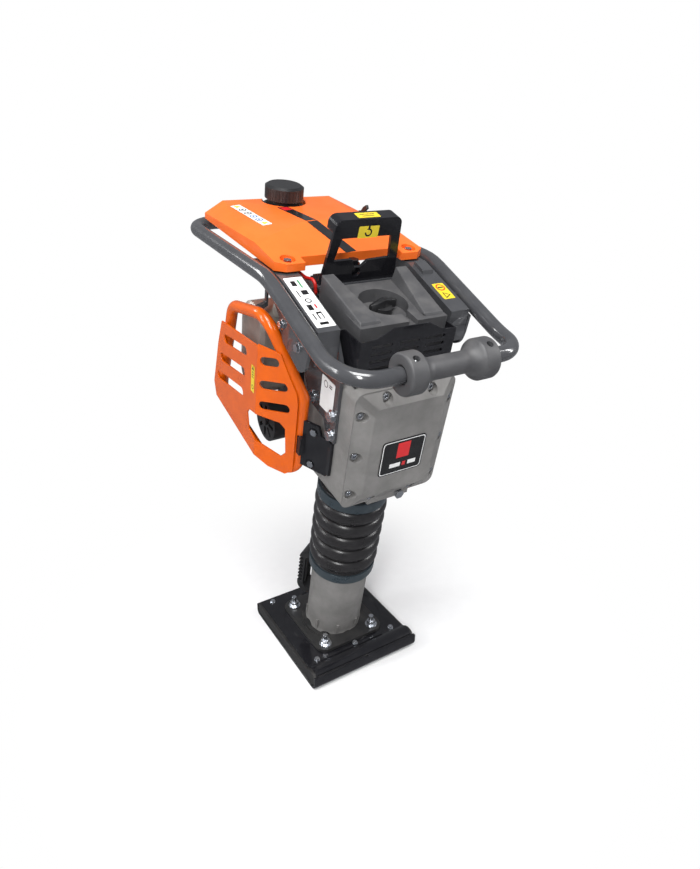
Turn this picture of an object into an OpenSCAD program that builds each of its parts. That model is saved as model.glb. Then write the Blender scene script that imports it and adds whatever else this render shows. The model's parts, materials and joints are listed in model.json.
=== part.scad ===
// Jumping jack rammer: a sprung shoe and leg under a leaning upper machine.
// The origin is the middle of the sole on the ground, +Z is up and the nose points to -Y.
// Everything above the shoe is drawn in the leaning frame: its Z runs up the leg.

/* [Shoe] */
// Width of the shoe, left to right
shoe_w = 280; // [270:1:290]
// Length of the shoe, front to back
shoe_l = 320; // [318:1:326]
// Thickness of the steel sole plate
sole_t = 7; // [5:0.5:7]
// Height of the flat top of the infill block
core_top = 32; // [30:1:32]
// Thickness of the pressed top plate
top_t = 3; // [2:0.5:3]

/* [Leg] */
// Forward lean of the leg and of the whole upper machine
lean_angle = 13; // [12:0.5:14]
// Outside radius of the cast leg tube
leg_r = 66; // [64:1:66]
// Height of the top of the leg tube along the leaning axis
leg_top = 226; // [220:1:230]
// Outside radius of the spring cylinder, which slides in the guide bush
spring_cyl_r = 47; // [46:0.5:47]
// Radius of the piston rod
rod_r = 14; // [12:1:14]

/* [Bellows] */
// Number of convolutions
folds = 5; // [4:1:6]
// Largest radius of the convolutions
fold_r = 79; // [77:1:80]
// Height where the upper cuff starts
cuff_z = 414; // [412:1:416]

/* [Gearbox] */
// Half width of the gearbox housing
box_x = 108; // [106:1:108]
// Height of the underside of the gearbox
box_z0 = 497; // [495:1:497]
// Height of the top of the gearbox
box_z1 = 752; // [750:1:752]
// Teeth on the crank gear
gear_teeth = 60; // [60:5:60]
// Teeth on the pinion
pinion_teeth = 12; // [12:1:12]
// Tooth size: pitch diameter over the number of teeth
gear_module = 2.5; // [2.5:0.5:2.5]
// Throw of the crank pin
crank_throw = 22; // [18:1:22]

/* [Handle] */
// Radius of the handle tube
tube_r = 14; // [13:0.5:14]
// Half distance between the two side rails
rail_x = 177; // [177:1:179]
// Radius of the flanges of the front roller
roller_r = 35; // [34:0.5:36]

/* [Tank] */
// Half width of the fuel tank
tank_x = 158; // [150:1:158]
// Radius of the filler cap
cap_r = 41; // [38:1:41]

/* [Side guard] */
// Radius of the guard's tube
guard_r = 11; // [10:0.5:11]

/* [Hidden] */

$fn = 64;
eps = 0.01;
fit = 0.05;                 // radial clearance of a running fit
gap = 0.5;                  // gap between solids that pass each other
joint = 1.5;                // half length of the collar at a tube's bend
collar = 0.25;              // how far that collar stands proud

foot_y = 3;                 // where the leaning axis meets the foot
foot_z = 45;
nose_y = -shoe_l / 2;
heel_y = shoe_l / 2;
hump_y = nose_y + 46;       // where the rolled nose starts to rise
dish_r = 122;

stud_x = 65;
stud_y = [-75, 88];
flange_top = core_top + top_t + 7;
collar_top = 9;             // top of the foot's leaning collar
leg_floor = 30;
bush_len = 110;
guide_r = 57;
guide_z0 = 205;
piston_z = [200, 225];
spring_wire = 4.5;
cyl_top = 392;

gear_z = 620;
pitch_r = gear_teeth * gear_module / 2;
pinion_r = pinion_teeth * gear_module / 2;
shaft_z = gear_z + pitch_r + pinion_r;
gear_y = [-42, -22];
rod_len = 60;
small_z = gear_z - crank_throw - rod_len;
rod_half = 12;              // half thickness of the connecting rod
crank_pin_r = 12;
shaft_y = -95;              // front ends of the two gear shafts
flange_y = -115;            // front of the cover's bolt flange
cover_y = -134;             // front of the cover's raised middle
split_y = -100;             // joint between cover and housing
back_y = 62;                // rear face of the gearbox, where the engine bolts on
wall = 8;
cover_bolt_xz = concat(
    [for (s = [-1, 1], z = [709, 622, 535]) [s * 95, z]],
    [for (s = [-1, 1]) [s * 48, 738]],
    [for (s = [-1, 1]) [s * 46, 510]]);

// Handle rails: the rear stretch, the bend and the front stretch
rear_y = 490;
rear_z = 841;
bend_y = 98;
bend_z = 879;
dip_y = -118;
dip_z = 828;
front_x = 160;
front_y = -192;
front_z = 831;
roller_x = 88;

// Frame channels
chan_x = [116, 158];
chan_front = -56;
chan_back = 200;
chan_h = 30;
chan_t = 4;

// Fuel tank
tank_y = [98, 460];
tank_base = 884;            // height of the tank's underside at its front
tank_slope = 0.05;          // fall of the underside towards the rear
cap_y = 400;
throttle_yz = [352, 887];   // pivot of the throttle lever
cap_z = 897;

air_y = [-75, 66];
air_x = 90;
air_z0 = 768;
floor_slope = 0.085;
recess_y = -4;
recess_r = 45;

guard_x = -189;             // plane of the side guard's rear stretch
guard_front = [-138, 4];    // plan position of its front leg
guard_crease_y = 72;

function tank_under(y) = tank_base - tank_slope * (y - 100);
function rail_z(y) = y < bend_y ? bend_z + (bend_z - dip_z) / (bend_y - dip_y) * (y - bend_y)
    : bend_z + (rear_z - bend_z) / (rear_y - bend_y) * (y - bend_y);
function chan_z(y) = min(rail_z(y) + 3, tank_under(y) - 0.5);
function arc(cy, cz, r, a0, a1, n = 8) = [for (i = [0:n]) let (a = a0 + (a1 - a0) * i / n)
    [cy + r * cos(a), cz + r * sin(a)]];

// Puts children in the leaning frame
module lean() {
    translate([0, foot_y, foot_z]) rotate([lean_angle, 0, 0]) children();
}

// Extrudes an outline of (y, z) points from x0 to x1
module side_slab(x0, x1) {
    translate([x0, 0, 0]) rotate([90, 0, 90]) linear_extrude(x1 - x0) children();
}

// Extrudes an outline of (x, z) points from y0 to y1
module front_slab(y0, y1) {
    translate([0, y1, 0]) rotate([90, 0, 0]) linear_extrude(y1 - y0) children();
}

module rod_x(r, x0, x1, y, z) {
    translate([x0, y, z]) rotate([0, 90, 0]) cylinder(r = r, h = x1 - x0);
}

module rod_y(r, y0, y1, x, z) {
    translate([x, y0, z]) rotate([-90, 0, 0]) cylinder(r = r, h = y1 - y0);
}

module rod_z(r, z0, z1, x = 0, y = 0) {
    translate([x, y, z0]) cylinder(r = r, h = z1 - z0);
}

module box(low, high) {
    translate(low) cube(high - low);
}

module ring(r_out, r_in, z0, z1) {
    difference() {
        rod_z(r_out, z0, z1);
        rod_z(r_in, z0 - 1, z1 + 1);
    }
}

// A rectangle with rounded corners, from its low and high corners
module round_rect(low, high, r, n = 4) {
    polygon(concat(arc(high[0] - r, high[1] - r, r, 0, 90, n), arc(low[0] + r, high[1] - r, r, 90, 180, n),
        arc(low[0] + r, low[1] + r, r, 180, 270, n), arc(high[0] - r, low[1] + r, r, 270, 360, n)));
}

// A hexagon bolt head with its washer, standing on z = 0
module hex_head(d, washer = true) {
    if (washer) cylinder(r = d * 1.15, h = d * 0.2);
    translate([0, 0, washer ? d * 0.2 : 0]) cylinder(r = d * 0.95, h = d * 0.6, $fn = 6);
}

// Helpers for bent tubes: unit vectors, the corner cut-back and the turn of each elbow
function unit(v) = v / norm(v);
function cut_back(a, b, c, r) = r * tan(acos(max(-1, min(1, unit(b - a) * unit(c - b)))) / 2);

module stick(p, q, r) {
    d = q - p;
    translate(p) rotate([0, acos(d[2] / norm(d)), atan2(d[1], d[0])]) cylinder(r = r, h = norm(d));
}

module elbow(a, b, c, bend, r) {
    u = unit(b - a);
    v = unit(c - b);
    turn = acos(max(-1, min(1, u * v)));
    n = unit(cross(u, v));
    start = b - u * cut_back(a, b, c, bend);
    ex = cross(u, n);
    translate(start - ex * bend)
        rotate([atan2(u[2], n[2]), asin(-ex[2]), atan2(ex[1], ex[0])])
        rotate_extrude(angle = turn) translate([bend, 0]) circle(r);
}

// A round tube along points, with an elbow of its own radius at each inner point.
// A thin collar covers each joint, where the stick stops just short of the elbow.
module bent_tube(pts, bends, r, closed = false) {
    n = len(pts);
    for (i = [0 : closed ? n - 1 : n - 2]) {
        a = pts[(i + n - 1) % n];
        b = pts[i];
        c = pts[(i + 1) % n];
        d = pts[(i + 2) % n];
        u = unit(c - b);
        first = !closed && i == 0;
        last = !closed && i == n - 2;
        from = b + u * (first ? 0 : cut_back(a, b, c, bends[i]));
        to = c - u * (last ? 0 : cut_back(b, c, d, bends[(i + 1) % n]));
        stick(first ? from : from + u * joint / 3, last ? to : to - u * joint / 3, r);
        if (!first) stick(from - u * joint, from + u * joint, r + collar);
        if (!last) stick(to - u * joint, to + u * joint, r + collar);
        if (!first) elbow(a, b, c, bends[i], r);
    }
}

// ---------------------------------------------------------------- shoe

function hump(h) = [[heel_y - 10, core_top + h], [hump_y + 3, core_top + h], [hump_y, core_top + 2 + h],
    [hump_y - 9, core_top + 8 + h], [hump_y - 20, core_top + 11 + h], [hump_y - 31, core_top + 9 + h],
    [nose_y + sole_t + 1.5, core_top + 4 + h]];

module sole_plate() color("#1c1c1e") {
    nose = concat(arc(nose_y + 22, 22, 22, 270, 180), [[nose_y, core_top + 6], [nose_y + sole_t, core_top + 6]],
        arc(nose_y + 22, 22, 22 - sole_t, 180, 270));
    heel = concat(arc(heel_y - 12, 12, 12 - sole_t + 2, 270, 360), [[heel_y - 5, core_top - 2], [heel_y, core_top - 2]],
        arc(heel_y - 12, 12, 12, 360, 270));
    difference() {
        side_slab(-shoe_w / 2, shoe_w / 2) polygon(concat(nose, heel));
        box([-4, nose_y - 1, core_top + 2], [4, nose_y + sole_t + 1, core_top + 7]);
        box([-6, heel_y - 6, core_top - 8], [6, heel_y + 1, core_top]);
    }
}

module shoe_core() color("#202022") {
    belly = concat(arc(nose_y + 22, 22, 22 - sole_t, 180, 270), arc(heel_y - 12, 12, 12 - sole_t + 2, 270, 360),
        [[heel_y - 5, core_top - 2], [heel_y - 10, core_top]]);
    side_slab(2 - shoe_w / 2, shoe_w / 2 - 2) polygon(concat(belly, hump(0), [[nose_y + sole_t, core_top + 2]]));
}

module shoe_top() color("#28282a") {
    under = hump(0);
    difference() {
        side_slab(8 - shoe_w / 2, shoe_w / 2 - 8)
            polygon(concat(under, [for (i = [len(under) - 1 : -1 : 0]) under[i] + [0, top_t]]));
        difference() {
            rod_z(dish_r, core_top + top_t - 1.2, core_top + top_t + 1, 0, foot_y + 3);
            rod_z(dish_r - 14, core_top, core_top + top_t + 2, 0, foot_y + 3);
        }
        for (p = shoe_bolt_xy) rod_z(4, core_top - 1, core_top + top_t + 1, p[0], p[1]);
    }
}

shoe_bolt_xy = [[-104, hump_y + 10], [0, hump_y + 10], [104, hump_y + 10], [-104, heel_y - 22],
    [104, heel_y - 22]];

module shoe_bolts() color("#c8c8cc") {
    for (p = shoe_bolt_xy) translate([p[0], p[1], 0]) {
        rod_z(3.9, core_top + eps, core_top + top_t);
        translate([0, 0, core_top + top_t]) hex_head(6);
    }
}

module foot_casting() color("#2e2e30") difference() {
    union() {
        translate([0, 0, core_top + top_t]) linear_extrude(flange_top - core_top - top_t)
            round_rect([-90, stud_y[0] - 21.9], [90, stud_y[1] + 25], 26);
        intersection() {
            lean() rod_z(leg_r + 12, -30, collar_top);
            rod_z(200, core_top + top_t, 90);
        }
    }
    for (s = [-1, 1], y = stud_y) rod_z(6.6, 0, 100, s * stud_x, y);
}

module foot_studs() color("#c8c8cc") {
    for (s = [-1, 1], y = stud_y) translate([s * stud_x, y, 0]) {
        rod_z(6, core_top + top_t + eps, flange_top + 27);
        ring(15, 6, flange_top, flange_top + 2.5);
        difference() {
            rod_z(11, flange_top + 2.5, flange_top + 13);
            for (a = [0 : 60 : 300]) rotate(a) box([9.5, -20, flange_top], [20, 20, flange_top + 20]);
            rod_z(6, flange_top, flange_top + 20);
        }
    }
}

// ---------------------------------------------------------------- leg

module leg_casting() color("#8d8f91") difference() {
    lean() difference() {
        union() {
            rod_z(leg_r, collar_top, leg_top);
            for (a = [22.5 : 45 : 337.5]) rotate(a) box([leg_r - 10, -3, collar_top], [leg_r + 3, 3, collar_top + 34]);
            translate([0, 0, collar_top]) cylinder(r1 = leg_r + 3, r2 = leg_r, h = 12);
        }
        for (a = [0 : 45 : 315]) rotate(a) rod_x(16, leg_r - 3, leg_r + 9, 0, collar_top - 10);
        rod_z(guide_r + 3, leg_floor, leg_top + 1);
    }
    rod_z(200, 0, flange_top + eps);
}

module leg_handle() color("#1b1b1d") lean() rotate(33) {
    loop = concat([[leg_r - 4, 58], [leg_r + 10, 58]], arc(leg_r + 8, 84, 26, 290, 360), arc(leg_r + 8, 172, 26, 0, 90),
        [[leg_r - 4, 198]]);
    hole = concat([[leg_r - 10, 76]], arc(leg_r + 6, 88, 12, 270, 360), arc(leg_r + 6, 168, 12, 0, 90),
        [[leg_r - 10, 180]]);
    difference() {
        side_slab(-19, 19) difference() {
            polygon(loop);
            polygon(hole);
        }
        rod_z(leg_r + 0.1, 0, 300);
        for (z = [92 : 12 : 164], s = [-1, 1]) box([s > 0 ? 6 : -20, leg_r + 23, z], [s > 0 ? 20 : -6, leg_r + 40, z + 8]);
    }
    for (s = [-1, 1]) rod_z(3, 86, 170, s * 10, leg_r + 17);
}

module spring_cylinder() color("#77797c") lean() ring(spring_cyl_r, spring_cyl_r - 5, leg_floor, cyl_top);

module cylinder_cap() color("#6a6c70") lean() difference() {
    rod_z(spring_cyl_r, cyl_top, cyl_top + 12);
    rod_z(rod_r + fit, cyl_top - 1, cyl_top + 13);
}

// A round wire wound between two heights
module coil(r, wire, z0, z1, turns, sides = 6, steps = 16) {
    n = turns * steps;
    pts = [for (i = [0:n], j = [0:sides - 1]) let (a = 360 * i / steps, b = 360 * j / sides, q = r + wire * cos(b))
        [q * cos(a), q * sin(a), z0 + wire + (z1 - z0 - 2 * wire) * i / n + wire * sin(b)]];
    skin = [for (i = [0:n - 1], j = [0:sides - 1]) [i * sides + j, (i + 1) * sides + j,
        (i + 1) * sides + (j + 1) % sides, i * sides + (j + 1) % sides]];
    polyhedron(pts, concat([[for (j = [0:sides - 1]) j]], skin, [[for (j = [sides - 1 : -1 : 0]) n * sides + j]]));
}

module lower_spring() color("#3c5a86") lean() coil(34, spring_wire, leg_floor + 1, piston_z[0] - 1, 7);
module upper_spring() color("#3c5a86") lean() coil(34, spring_wire, piston_z[1] + 1, cyl_top - 1, 7);

module bellows() color("#1d1c1e") lean() {
    low = leg_top + 3;
    pitch = (cuff_z - low) / folds;
    wave = [for (i = [0 : folds - 1], k = [0:11]) let (u = k / 12)
        [fold_r - 10 + 10 * sqrt(sin(180 * u)), low + (i + u) * pitch]];
    outside = concat([[leg_r + 6, leg_top - 24], [leg_r + 6, low - 1]], wave,
        [[leg_r + 6, cuff_z + 1], [leg_r + 6, cuff_z + 30]]);
    inside = concat([[leg_r + eps, cuff_z + 30], [leg_r + eps, cuff_z]],
        [for (i = [len(wave) - 1 : -1 : 0]) wave[i] - [3.5, 0]], [[leg_r + eps, low], [leg_r + eps, leg_top - 24]]);
    rotate_extrude() polygon(concat(outside, inside));
}

module clamp_band(z0, z1) {
    ring(leg_r + 10.5, leg_r + 6 + eps, z0, z1);
    mid = (z0 + z1) / 2;
    rotate(150) difference() {
        box([-9, leg_r + 9, mid - 8], [9, leg_r + 21, mid + 8]);
        rod_z(leg_r + 9.5, z0 - 1, z1 + 1);
        rod_x(3, -20, 20, leg_r + 15, mid);
    }
    rotate(150) rod_x(2.9, -20, 20, leg_r + 15, mid);
}

module lower_clamp() color("#5b6b7b") lean() rotate(160) clamp_band(leg_top - 23, leg_top - 1);
module upper_clamp() color("#5b6b7b") lean() rotate(160) clamp_band(cuff_z + 3, cuff_z + 27);

// ---------------------------------------------------------------- percussion system

module guide_cylinder() color("#8a8c8e") lean() difference() {
    union() {
        rod_z(guide_r, guide_z0, box_z0);
        rod_z(leg_r, cuff_z + 1, box_z0);
    }
    rod_z(50, guide_z0 - 1, box_z0 + 1);
}

module guide_bush() color("#b08a4a") lean() ring(50, spring_cyl_r + fit, guide_z0 + 5, guide_z0 + 5 + bush_len);

module piston() color("#9a9c9f") lean() rod_z(spring_cyl_r - 5 - fit, piston_z[0], piston_z[1]);

module piston_rod() color("#b4b6b8") lean() {
    rod_z(rod_r, piston_z[1], 496);
    box([-rod_r, -18.5, 496], [rod_r, 18.5, 516]);
    for (s = [-1, 1]) box([-rod_r, s > 0 ? rod_half + gap : -18.5, 516], [rod_r, s > 0 ? 18.5 : -rod_half - gap, 550]);
}

// Gear outline: straight-sided teeth with the given number and a little backlash
module gear_outline(teeth, turn) {
    r = teeth * gear_module / 2;
    step = 360 / teeth;
    polygon([for (i = [0 : teeth - 1], k = [0:3]) let (a = turn + step * (i + [-0.29, -0.12, 0.12, 0.29][k]),
        q = r + gear_module * [-1.15, 0.8, 0.8, -1.15][k]) [q * cos(a), q * sin(a)]]);
}

module crank_gear() color("#85888c") lean() {
    translate([0, 0, gear_z]) {
        front_slab(gear_y[0], gear_y[1]) difference() {
            gear_outline(gear_teeth, 90);
            for (a = [30, 90, 150]) translate([48 * cos(a), 48 * sin(a)]) circle(14);
        }
        rod_y(18, shaft_y, gear_y[0], 0, 0);
        rod_y(crank_pin_r - fit, gear_y[1], rod_half, 0, -crank_throw);
    }
}

module connecting_rod() color("#94979b") lean() {
    difference() {
        union() {
            rod_y(21, -rod_half, rod_half, 0, gear_z - crank_throw);
            rod_y(13, -rod_half, rod_half, 0, small_z);
            box([-9, 4 - rod_half, small_z], [9, rod_half - 4, gear_z - crank_throw]);
        }
        rod_y(crank_pin_r, -20, 20, 0, gear_z - crank_throw);
    }
}

module bearings() color("#a9abae") lean() {
    translate([0, 0, gear_z]) {
        bearing(36, 18, -76, -60);
        bearing(36, 18, -96, -80);
    }
    translate([0, 0, shaft_z]) {
        bearing(15, 7, -96, -84);
        bearing(17.5, 7, 22, 28);
    }
}

module bearing(r_out, r_in, y0, y1) {
    difference() {
        rod_y(r_out - 0.02, y0, y1, 0, 0);
        rod_y(r_in + fit, y0 - 1, y1 + 1, 0, 0);
    }
}

// ---------------------------------------------------------------- gearbox

module box_outline(inset = 0) {
    round_rect([inset - box_x, box_z0 + inset], [box_x - inset, box_z1 - inset], 18 - inset);
}

module gear_housing() color("#8d8f91") lean() difference() {
    union() {
        difference() {
            front_slab(split_y, back_y) box_outline();
            front_slab(split_y - 1, 22) box_outline(wall);
            intersection() {
                front_slab(20, back_y - wall) box_outline(wall);
                box([-200, 0, 0], [200, 100, 650]);
            }
            front_slab(28, back_y - wall) round_rect([-60, 656], [60, box_z1 - wall], 8);
        }
        for (p = cover_bolt_xz) rod_y(11, split_y, -72, p[0], p[1]);
    }
    for (p = cover_bolt_xz) rod_y(4 + fit, split_y - 1, -76, p[0], p[1]);
    rod_y(17.5, 20, 30, 0, shaft_z);
    rod_y(36, back_y - wall - 1, back_y + 1, 0, shaft_z);
    rod_z(40, box_z0 - 1, box_z0 + wall + 1);
    for (x = [-60, 60], z = [670, 735]) rod_y(4, back_y - wall - 1, back_y + 1, x + sign(x) * 14, z);
}

module gear_cover() color("#8f9193") lean() difference() {
    union() {
        difference() {
            union() {
                front_slab(flange_y, split_y) box_outline();
                hull() {
                    front_slab(flange_y, flange_y + 2) box_outline(3);
                    front_slab(cover_y, cover_y + 1) round_rect([-76, box_z0 + 32], [76, box_z1 - 26], 14);
                }
            }
            front_slab(split_y - 7, split_y + 1) box_outline(wall);
            hull() {
                front_slab(flange_y + 7, flange_y + 8) round_rect([-82, box_z0 + 30], [82, box_z1 - 24], 12);
                front_slab(cover_y + 7, cover_y + 8) round_rect([-66, box_z0 + 44], [66, box_z1 - 44], 10);
            }
        }
        rod_y(42, cover_y + 2, -60, 0, gear_z);
        rod_y(20, flange_y + 2, -84, 0, shaft_z);
        for (p = cover_bolt_xz) rod_y(13, flange_y, split_y, p[0], p[1]);
        box([-45, flange_y, box_z0 - 10], [50, split_y, box_z0 + 4]);
    }
    for (p = cover_bolt_xz) {
        rod_y(4.5, flange_y - 1, split_y + 1, p[0], p[1]);
        rod_y(10.5, flange_y - 20, flange_y, p[0], p[1]);
        rod_y(7, flange_y - 20, flange_y + 5, p[0], p[1]);
    }
    rod_y(36, -96, -59, 0, gear_z);
    rod_y(15, -96, -83, 0, shaft_z);
    rod_y(6, flange_y - 1, flange_y + 12, 26, box_z0 - 3);
    rod_y(11, flange_y - 20, flange_y, 26, box_z0 - 3);
}

module cover_bolts() color("#d0d2d6") lean() {
    for (p = cover_bolt_xz) difference() {
        union() {
            rod_y(6.5, flange_y - 3, flange_y + 5, p[0], p[1]);
            rod_y(4, flange_y + 5, -78, p[0], p[1]);
        }
        translate([p[0], flange_y - 4, p[1]]) rotate([-90, 30, 0]) cylinder(r = 3.4, h = 5, $fn = 6);
    }
    rod_y(5.9, flange_y, flange_y + 11, 26, box_z0 - 3);
    translate([26, flange_y, box_z0 - 3]) rotate([90, 0, 0]) cylinder(r = 10, h = 8, $fn = 6);
}

module badge_plate() color("#141416") lean()
    front_slab(cover_y - 1.2, cover_y - eps) round_rect([-48.5, 571], [48.5, 649], 7);

// ---------------------------------------------------------------- drive

module pinion() color("#8b8e92") lean() translate([0, 0, shaft_z]) {
    front_slab(gear_y[0] - 1, gear_y[1] + 1) gear_outline(pinion_teeth, 90 + 180 / pinion_teeth);
    rod_y(7, shaft_y, gear_y[0] - 1, 0, 0);
    rod_y(7, gear_y[1] + 1, 30, 0, 0);
}

module clutch_drum() color("#6c6f73") lean() translate([0, 0, shaft_z]) difference() {
    rod_y(33, 30, 58, 0, 0);
    rod_y(30, 34, 59, 0, 0);
}

module clutch_shoes() color("#5c5148") lean() translate([0, 0, shaft_z]) for (t = [0, 180]) rotate([0, t, 0])
    difference() {
        rod_y(28.5, 40, 54, 0, 0);
        rod_y(15, 39, 55, 0, 0);
        box([-60, 30, -60], [60, 60, 6]);
    }

module crankshaft() color("#9da0a3") lean() translate([0, 0, shaft_z]) {
    rod_y(15 - eps, 38, 56, 0, 0);
    rod_y(10, 56, 214, 0, 0);
    difference() {
        rod_y(68, 178, 196, 0, 0);
        for (a = [0 : 30 : 330]) rotate([0, a, 0]) rod_y(8, 190, 197, 54, 0);
    }
}

module engine() color("#7e8083") lean() {
    difference() {
        union() {
            front_slab(back_y, 170) round_rect([-64, 560], [64, 766], 20);
            rod_y(52, back_y, 76, 0, shaft_z);
            box([-40, 70, 760], [40, 162, 846]);
            for (z = [778 : 10 : 828]) box([-56, 68, z], [56, 166, z + 4]);
            box([-50, 68, 836], [50, 164, 846]);
        }
        front_slab(back_y + 8, 162) round_rect([-56, 568], [56, 758], 14);
        rod_y(10 + fit, back_y - 1, 171, 0, shaft_z);
        rod_z(27, 750, 826, 0, 116);
    }
}

module muffler() color("#a6a7a8") lean() {
    difference() {
        hull() {
            for (y = [172, 196], z = [640, 750]) rod_x(38, -158, -109, y, z);
            for (y = [172, 196], z = [640, 750]) rod_x(31, -165, -101, y, z);
        }
        hull() for (y = [172, 196], z = [640, 750]) rod_x(34, -157, -111, y, z);
        rod_z(8, 770, 800, -125, 150);
    }
    difference() {
        bent_tube([[-125, 150, 777.5], [-125, 150, 806], [-56 - gap, 150, 806]], [0, 16, 0], 11);
        rod_z(8, 770, 806, -125, 150);
        rod_x(8, -125, -50, 150, 806);
    }
    rod_y(9, 229, 250, -134, 690);
}

module carburettor() color("#9b9da0") lean() {
    difference() {
        box([56 + gap, 100, 778], [92, 140, 822]);
        rod_y(10, 90, 150, 76, 800);
    }
    rod_z(14, 758, 779, 82, 120);
    difference() {
        rod_y(17, air_y[1] + 1, 101, 76, 800);
        rod_y(10, air_y[1] - 1, 102, 76, 800);
    }
    box([91, 112, 796], [100, 128, 800]);
}

module starter_cover() color("#18181a") lean() difference() {
    union() {
        rod_y(92, 170, 222, 0, shaft_z);
        translate([0, 222, shaft_z]) rotate([-90, 0, 0]) cylinder(r1 = 92, r2 = 80, h = 8);
        rod_y(52, 230, 240, 0, shaft_z);
        box([44, 206, shaft_z + 44], [76, 236, shaft_z + 76]);
        hull() for (p = [[132, 552], [150, 636]]) rod_x(44, -99, -64.5, p[0], p[1]);
        rod_x(44, -150, -90, 132, 552);
        rod_x(10, -154, -100, 132, 552);
    }
    hull() for (p = [[132, 552], [150, 636]]) rod_x(40, -95, -60, p[0], p[1]);
    difference() {
        rod_x(40, -146, -94, 132, 552);
        rod_x(12, -150, -94, 132, 552);
    }
    for (a = [0 : 45 : 315]) translate([-151, 132, 552]) rotate([a, 0, 0]) box([-2, 15, -4], [8, 36, 4]);
    rod_y(84, 169, 218, 0, shaft_z);
    for (a = [15 : 30 : 345]) rotate_about(shaft_z, a) box([60, 200, shaft_z - 3], [76, 260, shaft_z + 3]);
    rod_y(4, 200, 250, 60, shaft_z + 60);
}

module rotate_about(z, a) {
    translate([0, 0, z]) rotate([0, a, 0]) translate([0, 0, -z]) children();
}

module starter_grip() color("#1a1a1c") lean() {
    rod_y(3, 212, 239, 60, shaft_z + 60);
    rod_y(7, 236 + gap, 246, 60, shaft_z + 60);
    rod_x(9, 34, 86, 254, shaft_z + 60);
}

module spark_plug() color("#202022") lean() {
    rod_x(8, -66, -56 - eps, 100, 812);
    rod_x(11, -88, -66, 100, 812);
    rod_z(8, 812, 836, -88, 100);
}

module plug_lead() color("#b3231c") lean()
    bent_tube([[-88, 100, 836 + eps], [-88, 100, 848], [-93, 72, 846], [-97, 72, 876], [-99, 104, 868], [-96, 150, 866],
        [-62, 196, 785]], [0, 6, 8, 10, 20, 24, 0], 3);

// ---------------------------------------------------------------- air cleaner

module air_base() color("#1c1c1e") lean() {
    box([2 - air_x, air_y[0] + 2, box_z1 + 2], [air_x - 2, back_y - 2, air_z0]);
    for (s = [-1, 1], y = [-50, 40]) rod_z(10, box_z1, box_z1 + 2, s * 60, y);
}

function floor_z(y) = 857 + floor_slope * (y - recess_y);

module air_cover() color("#4a4b4e") lean() difference() {
    union() {
        side_slab(-air_x, air_x) polygon([[air_y[0], air_z0], [air_y[0], floor_z(air_y[0])],
            [air_y[1], floor_z(air_y[1])], [air_y[1], air_z0]]);
        for (s = [-1, 1]) hull() {
            for (x = [47, 84]) translate([s * x, -64, 855]) sphere(2, $fn = 16);
            for (x = [68, 88]) translate([s * x, 62, 886]) sphere(2, $fn = 16);
            for (x = [56, 88], y = [air_y[0] + 2, air_y[1] - 2]) translate([s * x, y, 835]) sphere(2, $fn = 16);
        }
    }
    side_slab(3 - air_x, air_x - 3) polygon([[air_y[0] + 3, air_z0 - 1], [air_y[0] + 3, 826],
        [air_y[1] - 3, 826], [air_y[1] - 3, air_z0 - 1]]);
    rod_z(recess_r, 836, 880, 0, recess_y);
    box([8, air_y[0] - 1, 842], [26, recess_y - 20, 880]);
    rod_z(4.2, 820, 840, 0, recess_y);
    rod_y(17.5, air_y[1] - 4, air_y[1] + 2, 76, 800);
}

module filter_element() color("#c9b98a") lean() difference() {
    box([-62, -58, air_z0 + 1], [62, 48, 824]);
    rod_z(9, air_z0, 825, 0, recess_y);
}

module air_knob() color("#141416") lean() translate([0, recess_y, 0]) {
    rod_z(4, 790, 837);
    rod_z(18, 836.5, 848);
    rotate(12) difference() {
        hull() {
            box([-31, -3.5, 842], [31, 3.5, 856]);
            rod_z(7, 842, 862);
        }
        box([-1, -1, 862], [1, 1, 870]);
    }
}

module air_guard() color("#161618") lean() {
    t = 2;
    x = air_x + 9;
    y = air_y[0] - 18;
    difference() {
        union() {
            front_slab(y - t, y) polygon([[-x, 752], [x, 752], [x, 836], [66, 839], [36, 855], [-36, 855], [-66, 839],
                [-x, 836]]);
            for (s = [-1, 1]) side_slab(s > 0 ? x - t : -x, s > 0 ? x : t - x)
                polygon([[y - t, 752], [8, 752], [8, 800], [-40, 836], [y - t, 836]]);
        }
        for (c = [-56, 0, 56], r = [0:4])
            front_slab(y - 5, y + 5) round_rect([c - 21, 766 + 14 * r], [c + 21, 772 + 14 * r], 3);
    }
    for (s = [-1, 1]) box([s > 0 ? air_x + 0.2 : -x + t, -30, 774], [s > 0 ? x - t : -air_x - 0.2, -16, 786]);
}

// ---------------------------------------------------------------- frame and handle

module lifting_bail() color("#161618") lean() {
    tilt = 8;
    low = 859;
    difference() {
        translate([0, 90, low]) rotate([tilt, 0, 0]) front_slab(-6, 0) difference() {
            polygon(concat([[-81, 0], [81, 0], [68, 108]], arc(54, 108, 14, 0, 90, 6), arc(-54, 108, 14, 90, 180, 6),
                [[-68, 108]]));
            polygon([[-60, 46], [-22, 46], [-14, 30], [0, 30], [12, 42], [58, 44], [51, 88], [-51, 88]]);
            translate([-8, 20]) circle(9);
        }
        box([-100, 60, low - 10], [100, 100, low]);
    }
    translate([0, 90, low]) rotate([tilt, 0, 0]) front_slab(-1, 22) difference() {
        polygon(concat([[68, 97]], arc(54, 108, 14, 0, 90, 6), arc(-54, 108, 14, 90, 180, 6), [[-68, 97]]));
        polygon(concat([[63, 96]], arc(54, 108, 9, 0, 90, 6), arc(-54, 108, 9, 90, 180, 6), [[-63, 96]]));
    }
    box([-81, 84, low], [81, 118, low + 5]);
    rod_z(13, low + 5, 884, 0, 106);
    translate([0, 106, 884]) hex_head(11);
}

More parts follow.
